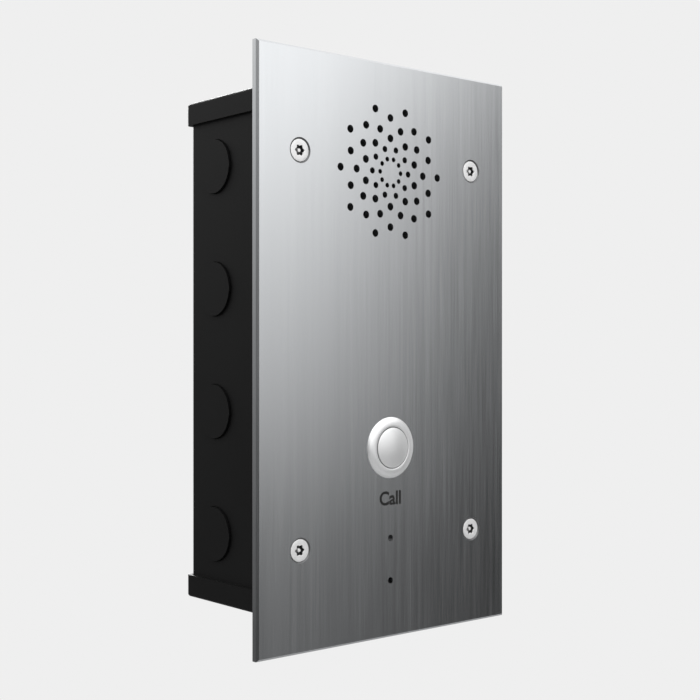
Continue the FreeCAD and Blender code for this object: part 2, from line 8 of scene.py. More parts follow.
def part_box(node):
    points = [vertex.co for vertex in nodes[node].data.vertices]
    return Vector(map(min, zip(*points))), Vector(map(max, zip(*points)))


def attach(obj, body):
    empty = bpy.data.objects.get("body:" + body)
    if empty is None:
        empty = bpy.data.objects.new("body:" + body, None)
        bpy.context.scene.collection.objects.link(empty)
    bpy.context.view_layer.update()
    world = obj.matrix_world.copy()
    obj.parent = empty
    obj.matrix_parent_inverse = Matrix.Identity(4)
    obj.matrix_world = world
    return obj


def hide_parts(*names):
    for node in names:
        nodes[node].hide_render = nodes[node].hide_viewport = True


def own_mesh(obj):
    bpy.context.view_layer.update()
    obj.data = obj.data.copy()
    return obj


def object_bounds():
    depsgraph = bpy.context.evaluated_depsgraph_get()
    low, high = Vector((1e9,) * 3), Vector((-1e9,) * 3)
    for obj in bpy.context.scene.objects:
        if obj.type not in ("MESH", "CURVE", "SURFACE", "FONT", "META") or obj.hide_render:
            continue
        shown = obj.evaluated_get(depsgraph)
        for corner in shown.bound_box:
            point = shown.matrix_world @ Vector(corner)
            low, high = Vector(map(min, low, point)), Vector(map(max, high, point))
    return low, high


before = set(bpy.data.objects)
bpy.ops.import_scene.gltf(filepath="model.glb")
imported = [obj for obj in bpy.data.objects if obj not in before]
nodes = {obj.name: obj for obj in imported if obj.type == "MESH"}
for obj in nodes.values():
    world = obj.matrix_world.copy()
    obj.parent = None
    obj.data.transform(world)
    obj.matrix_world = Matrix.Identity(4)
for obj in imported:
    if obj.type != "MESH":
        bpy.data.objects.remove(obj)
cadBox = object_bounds()
mm = 0.001

print("frame loaded:", len(nodes), "nodes")


screwHead = 4.3  # radius of a screw's head, in millimetres
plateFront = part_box("face_plate")[0].y / mm
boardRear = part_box("main_board")[1].y / mm
# the top right screw's axis
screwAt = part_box("panel_screws")[1] - Vector((screwHead * mm, 0, screwHead * mm))
capLow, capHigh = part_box("button_cap")
buttonAt = (capLow + capHigh) / 2


class Val:
    # a socket that can be added, multiplied and so on
    def __init__(self, tree, socket):
        self.tree = tree
        self.socket = socket

    def maths(self, operation, *others):
        node = self.tree.nodes.new("ShaderNodeMath")
        node.operation = operation
        for i, value in enumerate((self,) + others):
            if isinstance(value, Val):
                self.tree.links.new(value.socket, node.inputs[i])
            else:
                node.inputs[i].default_value = value
        return Val(self.tree, node.outputs[0])

    def __add__(self, other):
        return self.maths("ADD", other)

    __radd__ = __add__

    def __mul__(self, other):
        return self.maths("MULTIPLY", other)

    __rmul__ = __mul__

    def __sub__(self, other):
        return self.maths("SUBTRACT", other)

    def __rsub__(self, other):
        return (self * -1.0) + other

    def __truediv__(self, other):
        return self.maths("DIVIDE", other)

    def clamp(self):
        return self.maths("MINIMUM", 1.0).maths("MAXIMUM", 0.0)

    def over(self, edge, soft):
        # 0 below the edge and 1 above it, over a soft step
        return ((self - edge) / soft + 0.5).clamp()


class Finish:
    # one node tree, for a material or the world
    def __init__(self, name, world=False):
        self.block = (bpy.data.worlds if world else bpy.data.materials).new(name)
        self.block.use_nodes = True
        self.tree = self.block.node_tree
        self.tree.nodes.clear()
        self.place = None

    def node(self, kind, settings=None, out=0, **values):
        made = self.tree.nodes.new("ShaderNode" + kind)
        for key, value in (settings or {}).items():
            setattr(made, key, value)
        for key, value in values.items():
            # in0 is the first socket; any other key is a socket's name
            socket = made.inputs[int(key[2:])] if key[2:].isdigit() else made.inputs[key.replace("_", " ")]
            if isinstance(value, Val):
                self.tree.links.new(value.socket, socket)
            else:
                socket.default_value = value
        return Val(self.tree, made.outputs[out]) if len(made.outputs) else None

    def at(self, scale=(1, 1, 1), shift=(0, 0, 0)):
        # the object's own coordinates; scale is in waves per metre, one number or one for each axis
        if isinstance(scale, (int, float)):
            scale = (scale, scale, scale)
        if self.place is None:
            self.place = self.node("TexCoord", out=3)
        return self.node("Mapping", Vector=self.place, Scale=scale, Location=shift)

    def parts(self, vector):
        made = self.tree.nodes.new("ShaderNodeSeparateXYZ")
        self.tree.links.new(vector.socket, made.inputs[0])
        return [Val(self.tree, made.outputs[i]) for i in range(3)]

    def noise(self, scale, detail=3.0, rough=0.55):
        return self.node("TexNoise", Vector=self.at(scale), Scale=1.0, Detail=detail, Roughness=rough)

    def cells(self, scale, distance="EUCLIDEAN", shift=(0, 0, 0)):
        return self.node("TexVoronoi", {"distance": distance}, Vector=self.at(scale, shift), Scale=1.0)

    def blend(self, factor, low, high):
        # a colour between two colours
        return self.node("Mix", {"data_type": "RGBA"}, out=2, in0=factor, in6=low, in7=high)

    def radius(self, x, z):
        # distance from an axis along Y, in metres
        px, _, pz = self.parts(self.at())
        return spread(px - x, pz - z)

    def fromScrews(self):
        # distance from the nearest of the four screws' axes, in metres
        px, _, pz = self.parts(self.at())
        return spread(px.maths("ABSOLUTE") - screwAt.x, pz.maths("ABSOLUTE") - screwAt.z)

    def bump(self, height, depth, strength=1.0):
        return self.node("Bump", Height=height, Distance=depth, Strength=strength)

    def surface(self, normal=None, **values):
        if normal is not None:
            values["Normal"] = normal
        shader = self.node("BsdfPrincipled", **values)
        self.node("OutputMaterial", Surface=shader)
        return self.block


def spread(dx, dz):
    return (dx * dx + dz * dz).maths("SQRT")


def grey(value, cool=0.0):
    # a linear grey, slightly blue where cool is above 0
    return (value * (1 - cool), value, value * (1 + cool), 1)


def paint(finish, *names):
    # gives a CAD node its finish
    for name in names:
        slots = nodes[name].data.materials
        slots.clear()
        slots.append(finish)


plateLook = {
    "light": grey(0.66, 0.02),
    "dark": grey(0.55, 0.024),
    "scratch": grey(0.78),
    "sinkShade": grey(0.06),
    "contrast": 1.9,  # of the light and dark grain
    "roughness": 0.19,
    "grainDepth": 0.005 * mm,
    "sink": 4.93 * mm,  # radius of the countersink round each screw
    "sinkSoft": 0.12 * mm,
}


def brushedPlate():
    f = Finish("brushed_plate")
    broad = f.noise((70, 70, 1.6), 2.0)
    middle = f.noise((420, 420, 6), 3.0)
    fine = f.noise((2600, 2600, 26), 2.0)
    grain = broad * 0.25 + middle * 0.35 + fine * 0.4
    scratches = f.cells((1500, 1500, 34)).over(0.06, 0.05)
    tone = (grain - 0.5) * plateLook["contrast"] + 0.5
    color = f.blend(tone.clamp(), plateLook["dark"], plateLook["light"])
    color = f.blend((1 - scratches) * 0.06, color, plateLook["scratch"])
    rough = (fine - 0.5) * 0.16 + (middle - 0.5) * 0.08 + plateLook["roughness"]
    bump = f.bump(fine, plateLook["grainDepth"], 0.35)
    # painted shade: the countersink round each screw is darkened in the colour, and made rougher
    sunk = 1 - f.fromScrews().over(plateLook["sink"], plateLook["sinkSoft"])
    color = f.blend(sunk * 0.8, color, plateLook["sinkShade"])
    rough = rough + sunk * 0.3
    return f.surface(bump, Base_Color=color, Metallic=1.0, Roughness=rough)


screwFinish = {
    "dark": grey(0.84),
    "light": grey(0.94),
    "recessShade": grey(0.02),
    "recessOuter": 2.5 * mm,
    "recessInner": 0.8 * mm,  # outside the pin
    "recessSoft": 0.1 * mm,
    "recessTop": 0.55 * mm,  # depth under the plate's face where the painted shade starts
    "topSoft": 0.3 * mm,
    "roughness": 0.34,
    "metallic": 0.35,
}


def screwSteel():
    # bright head, with painted shade darkening the recess
    look = screwFinish
    f = Finish("bright_screw_steel")
    away = f.fromScrews()
    _, py, _ = f.parts(f.at())
    inside = 1 - away.over(look["recessOuter"], look["recessSoft"])
    inside = inside * away.over(look["recessInner"], look["recessSoft"])
    # painted shade: the colour is darkened inside the recess, below a depth under the plate's face
    shadeMask = inside * py.over(plateFront * mm + look["recessTop"], look["topSoft"])
    cloud = f.noise(900, 4.0)
    speck = f.noise(8000, 2.0)
    color = f.blend(((cloud - 0.5) * 1.8 + 0.5).clamp(), look["dark"], look["light"])
    color = f.blend(shadeMask * 0.95, color, look["recessShade"])
    rough = (cloud - 0.5) * 0.18 + (speck - 0.5) * 0.10 + look["roughness"]
    bump = f.bump(speck * 0.6 + cloud * 0.4, 0.006 * mm, 0.5)
    return f.surface(bump, Base_Color=color, Metallic=look["metallic"], Roughness=rough)


turnedFinish = {
    "dark": grey(0.828, 0.006),
    "light": grey(0.92, 0.004),
    "gapShade": grey(0.1),
    "gap": 8.2 * mm,  # radius of the gap round the push piece
    "gapHalf": 0.22 * mm,
    "gapSoft": 0.1 * mm,
    "roughness": 0.33,
    "metallic": 0.6,
}


def turnedSteel():
    # satin steel with fine rings from the lathe, and painted shade: a dark line in the colour at the gap
    # round the push piece
    look = turnedFinish
    f = Finish("turned_button_steel")
    r = f.radius(buttonAt.x, buttonAt.z)
    rings = f.node("TexNoise", {"noise_dimensions": "1D"}, W=r * 9000.0, Scale=1.0, Detail=3.0)
    cloud = f.noise(260, 3.0)
    tint = (rings - 0.5) * 0.9 + (cloud - 0.5) * 0.7 + 0.5
    color = f.blend(tint.clamp(), look["dark"], look["light"])
    # painted shade: the colour is darkened in a thin ring at the gap round the push piece
    gap = 1 - (r - look["gap"]).maths("ABSOLUTE").over(look["gapHalf"], look["gapSoft"])
    color = f.blend(gap * 0.55, color, look["gapShade"])
    rough = (rings - 0.5) * 0.14 + (cloud - 0.5) * 0.08 + look["roughness"]
    bump = f.bump(rings, 0.004 * mm, 0.5)
    return f.surface(bump, Base_Color=color, Metallic=look["metallic"], Roughness=rough)


def plainMetal(name, low, high, roughness, scale=700):
    # plated or drawn metal with faint mottling
    f = Finish(name)
    cloud = f.noise(scale, 4.0)
    speck = f.noise(scale * 9, 2.0)
    color = f.blend(((cloud - 0.5) * 1.8 + 0.5).clamp(), low, high)
    rough = (cloud - 0.5) * 0.18 + (speck - 0.5) * 0.10 + roughness
    bump = f.bump(speck * 0.6 + cloud * 0.4, 0.006 * mm, 0.5)
    return f.surface(bump, Base_Color=color, Metallic=1.0, Roughness=rough)


def powderCoat():
    # black paint with a slight orange peel
    f = Finish("black_powder_coat")
    peel = f.noise(900, 3.0, 0.5)
    grit = f.noise(5200, 2.0)
    cloud = f.noise(24, 3.0)
    color = f.blend(cloud, grey(0.0042, 0.01), grey(0.0068, 0.01))
    rough = (cloud - 0.5) * 0.10 + (grit - 0.5) * 0.10 + 0.50
    bump = f.bump(peel * 0.7 + grit * 0.3, 0.035 * mm, 0.55)
    return f.surface(bump, Base_Color=color, Roughness=rough, Specular_IOR_Level=0.15)


def moulded(name, low, high, roughness, scale=500, depth=0.012):
    # moulded plastic or rubber: slight flow marks and a fine spark texture
    f = Finish(name)
    flow = f.noise((scale * 0.12, scale * 0.12, scale * 0.3), 3.0)
    spark = f.noise(scale * 12, 2.0)
    color = f.blend(((flow - 0.5) * 1.6 + 0.5).clamp(), low, high)
    rough = (spark - 0.5) * 0.16 + (flow - 0.5) * 0.10 + roughness
    bump = f.bump(spark, depth * mm, 0.6)
    return f.surface(bump, Base_Color=color, Roughness=rough)


def foam():
    f = Finish("black_foam")
    pore = f.cells(2600)
    wide = f.noise(300, 3.0)
    color = f.blend(pore.clamp(), grey(0.008), grey(0.045))
    bump = f.bump(pore * 0.8 + wide * 0.2, 0.10 * mm, 0.8)
    return f.surface(bump, Base_Color=color, Roughness=0.92)


def woven(name, low, high, threads, depth):
    # plain weave over the X and Z directions
    f = Finish(name)
    px, _, pz = f.parts(f.at(threads))
    warp = (px * math.pi).maths("SINE")
    weft = (pz * math.pi).maths("SINE")
    weave = (warp * weft) * 0.5 + 0.5
    fuzz = f.noise(threads * 2.3, 3.0)
    color = f.blend((weave * 0.7 + fuzz * 0.3).clamp(), low, high)
    bump = f.bump(weave, depth * mm, 0.8)
    return f.surface(bump, Base_Color=color, Roughness=0.85)


def pulpCone():
    f = Finish("cone_pulp")
    fibre = f.noise((1700, 1700, 500), 5.0, 0.7)
    cloud = f.noise(120, 3.0)
    color = f.blend((fibre * 0.7 + cloud * 0.3).clamp(), grey(0.012), grey(0.06))
    bump = f.bump(fibre, 0.06 * mm, 0.8)
    return f.surface(bump, Base_Color=color, Roughness=0.88)


def circuitBoard():
    # green solder mask over tracks, with bright vias
    f = Finish("circuit_board")
    tracks = f.cells(330, distance="MANHATTAN")
    lanes = f.node("TexBrick", {"offset": 0.5, "squash": 1.0}, out=1, Vector=f.at(620), Scale=1.0,
                   Mortar_Size=0.06, Mortar_Smooth=0.2)
    copper = (tracks.over(0.55, 0.02) * 0.55 + lanes * 0.45).clamp()
    vias = 1 - f.cells(260, shift=(0.3, 0.1, 0.2)).over(0.13, 0.03)
    cloud = f.noise(90, 3.0)
    mask = f.blend(copper, (0.010, 0.085, 0.034, 1), (0.030, 0.170, 0.070, 1))
    mask = f.blend(cloud * 0.35, mask, (0.014, 0.11, 0.045, 1))
    color = f.blend(vias * 0.8, mask, (0.62, 0.60, 0.52, 1))
    rough = vias * -0.12 + cloud * 0.12 + 0.30
    bump = f.bump(copper + vias, 0.03 * mm, 0.6)
    return f.surface(bump, Base_Color=color, Roughness=rough, Coat_Weight=0.25)


def coilWinding():
    f = Finish("copper_winding")
    wire = 0.22 * mm
    _, py, _ = f.parts(f.at())
    turns = (py * (2 * math.pi / wire)).maths("SINE") * 0.5 + 0.5
    cloud = f.noise(600, 3.0)
    # painted shade: the colour is darker in the grooves between the turns
    color = f.blend((turns * 0.8 + cloud * 0.2).clamp(), (0.20, 0.055, 0.018, 1), (0.60, 0.24, 0.10, 1))
    bump = f.bump(turns, 0.08 * mm, 0.9)
    return f.surface(bump, Base_Color=color, Roughness=0.34, Metallic=0.85)


steel = {
    "plate": brushedPlate(),
    "button": turnedSteel(),
    "screw": screwSteel(),
    "zinc": plainMetal("zinc_plate", grey(0.52, 0.01), grey(0.68, 0.015), 0.36),
    "stud": plainMetal("copper_flashed_stud", (0.50, 0.34, 0.24, 1), (0.62, 0.50, 0.40, 1), 0.38),
    "tin": plainMetal("tinned_screen", grey(0.66), grey(0.80), 0.26, 380),
    "pressed": plainMetal("pressed_steel", grey(0.42), grey(0.56), 0.40, 420),
    "spring": plainMetal("spring_wire", grey(0.48), grey(0.62), 0.28, 1500),
    "can": plainMetal("drawn_can", grey(0.62), grey(0.74), 0.30, 800),
    "brass": plainMetal("brass", (0.62, 0.42, 0.15, 1), (0.74, 0.55, 0.24, 1), 0.32),
    "gold": plainMetal("gold_flash", (0.78, 0.56, 0.20, 1), (0.88, 0.68, 0.30, 1), 0.24),
}
plastic = {
    "nylon": moulded("natural_nylon", (0.58, 0.56, 0.50, 1), (0.70, 0.68, 0.62, 1), 0.48),
    "black": moulded("black_switch_plastic", grey(0.012), grey(0.026), 0.46),
    "rubber": moulded("black_rubber", grey(0.012), grey(0.022), 0.72, 400, 0.03),
    "green": moulded("green_terminal_plastic", (0.012, 0.16, 0.045, 1), (0.022, 0.24, 0.07, 1), 0.40),
    "blue": moulded("blue_relay_case", (0.010, 0.035, 0.22, 1), (0.016, 0.055, 0.32, 1), 0.30),
    "chip": moulded("chip_epoxy", grey(0.012), grey(0.022), 0.55, 900),
    "sleeve": moulded("capacitor_sleeve", (0.012, 0.016, 0.05, 1), (0.02, 0.028, 0.08, 1), 0.28),
    "ferrite": moulded("ground_ferrite", grey(0.022), grey(0.05), 0.55, 700, 0.04),
    "lens": moulded("smoked_light_guide", grey(0.003), grey(0.006), 0.30, 300, 0.004),
    "amber": moulded("transformer_tape", (0.42, 0.26, 0.04, 1), (0.55, 0.36, 0.07, 1), 0.34),
    "red": moulded("red_insulation", (0.33, 0.012, 0.012, 1), (0.46, 0.02, 0.018, 1), 0.42),
    "sheath": moulded("black_insulation", grey(0.014), grey(0.03), 0.40),
    "yellow": moulded("yellow_insulation", (0.55, 0.36, 0.012, 1), (0.66, 0.46, 0.02, 1), 0.42),
    "blueWire": moulded("blue_insulation", (0.012, 0.05, 0.30, 1), (0.02, 0.08, 0.42, 1), 0.42),
    "white": moulded("white_insulation", grey(0.62), grey(0.74), 0.42),
    "greenWire": moulded("green_insulation", (0.02, 0.20, 0.05, 1), (0.03, 0.28, 0.08, 1), 0.42),
}

paint(steel["plate"], "face_plate")
paint(steel["button"], "button_body", "button_cap")
paint(steel["screw"], "panel_screws")
paint(steel["zinc"], "button_washer", "button_nut", "stud_nuts", "speaker_clamps", "nut_plates",
      "board_screws", "terminal_screws")
paint(steel["stud"], "speaker_studs", "sensor_studs")
paint(steel["brass"], "ground_stud", "board_posts")
paint(steel["gold"], "jack_contacts", "header_pins", "button_terminals", "speaker_terminals")
paint(steel["tin"], "network_jack")
paint(steel["pressed"], "speaker_basket", "top_plate", "magnet_yoke")
paint(steel["spring"], "return_spring")
paint(steel["can"], "mic_capsule")
paint(powderCoat(), "box_body", "top_cap", "bottom_cap", "knockout_slugs")
paint(foam(), "perimeter_gasket", "speaker_gasket")
paint(plastic["rubber"], "button_seal", "cap_ring", "mic_boot", "cone_surround")
paint(woven("membrane_mesh", grey(0.004), grey(0.014), 4200, 0.03), "acoustic_membrane")
paint(pulpCone(), "speaker_cone", "dust_cap")
paint(woven("spider_cloth", (0.34, 0.22, 0.07, 1), (0.62, 0.46, 0.20, 1), 1800, 0.12), "spider")
paint(plastic["ferrite"], "speaker_magnet", "transformer")
paint(coilWinding(), "voice_coil")
paint(plastic["nylon"], "screw_retainers", "lead_sockets", "lead_plugs")
paint(plastic["black"], "contact_block", "reset_switch", "reset_key")
paint(plastic["lens"], "light_pipe", "call_light")
paint(circuitBoard(), "main_board", "sensor_board")
paint(plastic["green"], "terminal_header", "terminal_plug")
paint(plastic["blue"], "relay")
paint(plastic["sleeve"], "capacitors")
paint(plastic["chip"], "chips")
paint(plastic["red"], "speaker_leads", "button_leads", "sensor_leads")
print("finishes made")

stageLook = {
    "backdrop": 0.863,  # linear grey of the pale background
    "floorDrop": 0.19,
    "floorHalf": 6.0,
    "floorTone": 0.5,
}
# brightness is in stops, 0 being white at strength 1, against the direction that the light comes from
studioLook = {
    "front": (4.6, -0.2, -4.8, 0.65),  # slope with height, level, darkest and brightest
    "rear": (6.6, -1.7, -4.2, 0.3),
    "left": (6.0, -2.6),
    "sag": (-0.16, 44),  # lowest height that counts, and how fast it darkens below the horizon
    "right": (0.585, 148, 230),  # where the dark side starts, its fall, and how height softens it
    "leftEdge": (-0.55, 0.4),  # edge and softness
    "rearEdge": (0.0, 0.3),
    "underEdge": (-0.36, 0.16),
    "besideEdge": (0.86, 0.08),
    "fill": -1.1,  # level from underneath and from the far right
}


def studioWorld():
    # pale background to the eye
    # the metal reflects a soft studio, bright high on the left and dark low on the right
    look = studioLook
    f = Finish("studio", world=True)
    x, y, z = f.parts(f.node("TexCoord"))
    slope, level, darkest, brightest = look["front"]
    lowest, sag = look["sag"]
    start, fall, soften = look["right"]
    low = z.maths("MINIMUM", 0.0).maths("MAXIMUM", lowest)
    right = (x - start).maths("MAXIMUM", 0.0)
    front = z * slope + level - low * low * sag - right * right * (fall - z * soften)
    front = front.maths("MINIMUM", brightest).maths("MAXIMUM", darkest)
    slope, level = look["left"]
    front = front + (z * slope + level - front) * (1 - x.over(*look["leftEdge"]))
    slope, level, darkest, brightest = look["rear"]
    rear = (z * slope + level).maths("MINIMUM", brightest).maths("MAXIMUM", darkest)
    stops = front + (rear - front) * y.over(*look["rearEdge"])
    outside = (1 - z.over(*look["underEdge"])).maths("MAXIMUM", x.over(*look["besideEdge"]))
    stops = stops + (look["fill"] - stops) * outside
    glow = f.node("Math", {"operation": "POWER"}, in0=2.0, in1=stops)
    seen = f.node("LightPath", out=0)
    strength = seen * stageLook["backdrop"] + (1 - seen) * glow
    light = f.node("Background", Color=(1, 1, 1, 1), Strength=strength)
    f.node("OutputWorld", Surface=light)
    bpy.context.scene.world = f.block


def paleFloor():
    # plain to the eye, and left out of what the metal reflects
    bm = bmesh.new()
    bmesh.ops.create_grid(bm, x_segments=1, y_segments=1, size=stageLook["floorHalf"])
    bmesh.ops.translate(bm, verts=bm.verts, vec=(0, 0, cadBox[0][2] - stageLook["floorDrop"]))
    mesh = bpy.data.meshes.new("floor")
    bm.to_mesh(mesh)
    bm.free()
    floor = bpy.data.objects.new("floor", mesh)
    bpy.context.scene.collection.objects.link(floor)
    f = Finish("pale_floor")
    seen = f.node("LightPath", out=0)
    plain = f.node("Emission", Color=grey(stageLook["backdrop"]), Strength=1.0)
    matt = f.node("BsdfDiffuse", Color=grey(stageLook["floorTone"]))
    f.node("OutputMaterial", Surface=f.node("MixShader", in0=seen, in1=matt, in2=plain))
    mesh.materials.append(f.block)
    floor.visible_glossy = False
    floor.visible_diffuse = False


softboxes = {
    # place and side in metres, power in watts
    "key": ((-0.5, -1.4, 1.3), 0.5, 4),
    "rear": ((0.7, 1.5, 0.9), 0.9, 45),
}


def softbox(name, place, side, power):
    # a square lamp aimed at the middle of the object
    lamp = bpy.data.lights.new(name, "AREA")
    lamp.shape = "RECTANGLE"
    lamp.size = lamp.size_y = side
    lamp.energy = power
    holder = bpy.data.objects.new(name, lamp)
    bpy.context.scene.collection.objects.link(holder)
    aim = (-Vector(place)).to_track_quat("-Z", "Y")
    holder.matrix_world = Matrix.Translation(Vector(place)) @ aim.to_matrix().to_4x4()


cameraLook = {
    "place": (-0.3448, -0.3876, 0.0007),
    "heading": math.radians(-40.079),
    "pitch": math.radians(89.933),
    "lens": 66.26,
    "sensor": 36.0,
    "nearest": 0.01,
}


def aimCamera():
    lens = bpy.data.cameras.new("view")
    lens.lens = cameraLook["lens"]
    lens.sensor_width = cameraLook["sensor"]
    lens.clip_start = cameraLook["nearest"]
    holder = bpy.data.objects.new("view", lens)
    bpy.context.scene.collection.objects.link(holder)
    turn = Matrix.Rotation(cameraLook["heading"], 4, "Z") @ Matrix.Rotation(cameraLook["pitch"], 4, "X")
    holder.matrix_world = Matrix.Translation(Vector(cameraLook["place"])) @ turn
    bpy.context.scene.camera = holder


studioWorld()
paleFloor()
for name, (place, side, power) in softboxes.items():
    softbox(name, place, side, power)
aimCamera()
bpy.context.scene.view_settings.view_transform = "Standard"
print("stage set")


def finishPiece(name, bm, body, finish, replaced=(), smooth=35):
    # closes a bmesh as a piece, with its normals outwards
    bmesh.ops.remove_doubles(bm, verts=bm.verts, dist=0.002 * mm)
    bmesh.ops.recalc_face_normals(bm, faces=bm.faces)
    mesh = bpy.data.meshes.new(name)
    bm.to_mesh(mesh)
    bm.free()
    return finishMesh(name, mesh, body, finish, replaced, smooth)


def finishMesh(name, mesh, body, finish, replaced=(), smooth=35):
    # puts a piece on its body, in place of the plain nodes that it stands for
    mesh.materials.clear()
    mesh.materials.append(finish)
    mesh.shade_smooth()
    mesh.set_sharp_from_angle(angle=math.radians(smooth))
    piece = bpy.data.objects.new(name, mesh)
    bpy.context.scene.collection.objects.link(piece)
    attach(piece, body)
    if replaced:
        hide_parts(*replaced)
    return piece


def turned(bm, profile, x=0.0, z=0.0, steps=72, closed=False):
    # spins a line of (radius, depth) points, in millimetres, about an axis along Y
    verts = [bm.verts.new((x + r * mm, y * mm, z)) for r, y in profile]
    edges = [bm.edges.new(pair) for pair in zip(verts, verts[1:])]
    if closed:
        edges.append(bm.edges.new((verts[-1], verts[0])))
    bmesh.ops.spin(bm, geom=verts + edges, cent=(x, 0, z), axis=(0, 1, 0), angle=2 * math.pi,
                   steps=steps, use_merge=True)


def helix(bm, geom, x, z, turns, rise, steps):
    # spins a section about an axis along Y while it moves along, then closes both ends
    bmesh.ops.spin(bm, geom=geom, cent=(x, 0, z), axis=(0, 1, 0), angle=2 * math.pi * turns,
                   steps=int(steps * turns), dvec=(0, rise * mm / steps, 0), use_merge=False)
    openEdges = [e for e in bm.edges if e.is_boundary]
    bmesh.ops.holes_fill(bm, edges=openEdges, sides=0)


def thread(x, z, core, crest, pitch, start, end, steps):
    # one screw thread: a pointed ridge wound on a core
    bm = bmesh.new()
    heights = ((core - 0.03, 0.0), (crest, pitch * 0.5), (core - 0.03, pitch * 0.9))
    verts = [bm.verts.new((x + r * mm, (start + y) * mm, z)) for r, y in heights]
    edges = [bm.edges.new((verts[i], verts[(i + 1) % 3])) for i in range(3)]
    turns = max(1, round((end - start) / pitch - 1))
    helix(bm, verts + edges, x, z, turns, pitch, steps)
    return bm


def grow(bm, loop, x, z, radius, y, swing=0.0):
    # extrudes a round edge loop to a new radius and depth; a swing gives it six lobes
    made = bmesh.ops.extrude_edge_only(bm, edges=loop)["geom"]
    fresh = {g for g in made if isinstance(g, bmesh.types.BMVert)}
    for vert in fresh:
        turn = math.atan2(vert.co.z - z, vert.co.x - x)
        reach = radius * mm * (1 + swing * math.cos(6 * turn))
        vert.co = (x + reach * math.cos(turn), y * mm, z + reach * math.sin(turn))
    return [g for g in made if isinstance(g, bmesh.types.BMEdge) and fresh.issuperset(g.verts)]


def gather(bm, other):
    # adds another bmesh to this one
    mesh = bpy.data.meshes.new("gathered")
    other.to_mesh(mesh)
    other.free()
    bm.from_mesh(mesh)
    bpy.data.meshes.remove(mesh)


def brick(bm, low, high, edge=0.0, segments=2):
    # a block between two corners in millimetres, with rounded edges
    made = bmesh.ops.create_cube(bm, size=1.0)
    size = [(b - a) * mm for a, b in zip(low, high)]
    middle = [(a + b) / 2 * mm for a, b in zip(low, high)]
    bmesh.ops.scale(bm, verts=made["verts"], vec=size)
    bmesh.ops.translate(bm, verts=made["verts"], vec=middle)
    if edge:
        edges = {e for v in made["verts"] for e in v.link_edges}
        bmesh.ops.bevel(bm, geom=list(edges), offset=edge * mm, offset_type="OFFSET", affect="EDGES",
                        segments=segments, profile=0.5, material=-1)


def tube(points, radius):
    # a smooth insulated wire through the given route, in millimetres
    curve = bpy.data.curves.new("route", "CURVE")
    curve.dimensions = "3D"
    spline = curve.splines.new("NURBS")
    spline.points.add(len(points) - 1)
    for point, place in zip(spline.points, points):
        point.co = [c * mm for c in place] + [1.0]
    spline.order_u = 3
    spline.use_endpoint_u = True
    curve.resolution_u = 8
    curve.bevel_depth = radius * mm
    curve.bevel_resolution = 3
    curve.use_fill_caps = True
    holder = bpy.data.objects.new("route", curve)
    bpy.context.scene.collection.objects.link(holder)
    bpy.context.view_layer.update()
    mesh = bpy.data.meshes.new_from_object(holder)
    bpy.data.objects.remove(holder)
    return mesh


labelLook = {
    "capHeight": 5.3 * mm,
    "capShare": 0.70,  # of the font's size
    "bolder": 0.19 * mm,
    "below": 59.2 * mm,  # the middle of the capital, under the panel's middle
    "thick": 0.03 * mm,
}


def callLabel():
    text = bpy.data.curves.new("call_label", "FONT")
    text.body = "Call"
    text.align_x = "CENTER"
    text.size = labelLook["capHeight"] / labelLook["capShare"]
    text.extrude = labelLook["thick"] / 2
    text.offset = labelLook["bolder"]
    source = bpy.data.objects.new("label_source", text)
    bpy.context.scene.collection.objects.link(source)
    bpy.context.view_layer.update()
    mesh = bpy.data.meshes.new_from_object(source)
    bpy.data.objects.remove(source)
    bm = bmesh.new()
    bm.from_mesh(mesh)
    bmesh.ops.rotate(bm, verts=bm.verts, matrix=Matrix.Rotation(math.pi / 2, 3, "X"))
    low = min(v.co.z for v in bm.verts)
    high = max(v.co.z for v in bm.verts)
    shift = -labelLook["below"] - (low + high) / 2
    bmesh.ops.translate(bm, verts=bm.verts, vec=(0, plateFront * mm - labelLook["thick"] / 2, shift))
    ink = moulded("printed_ink", grey(0.003), grey(0.007), 0.75, 900, 0.006)
    finishPiece("call_label", bm, "front_panel", ink, (), 30)


screwLook = {
    "head": screwHead,
    "below": 0.3,  # how far the head sits under the plate's face
    "shank": 1.95,
    "core": 1.6,
    "pitch": 0.7,
    "threadEnd": 7.6,
    "threadSteps": 24,
    "lobe": 1.93,  # the recess's mean radius, and its swing to each lobe
    "lobeSwing": 0.14,
    "pin": 0.74,
    "recess": 1.5,
    "segments": 48,
}


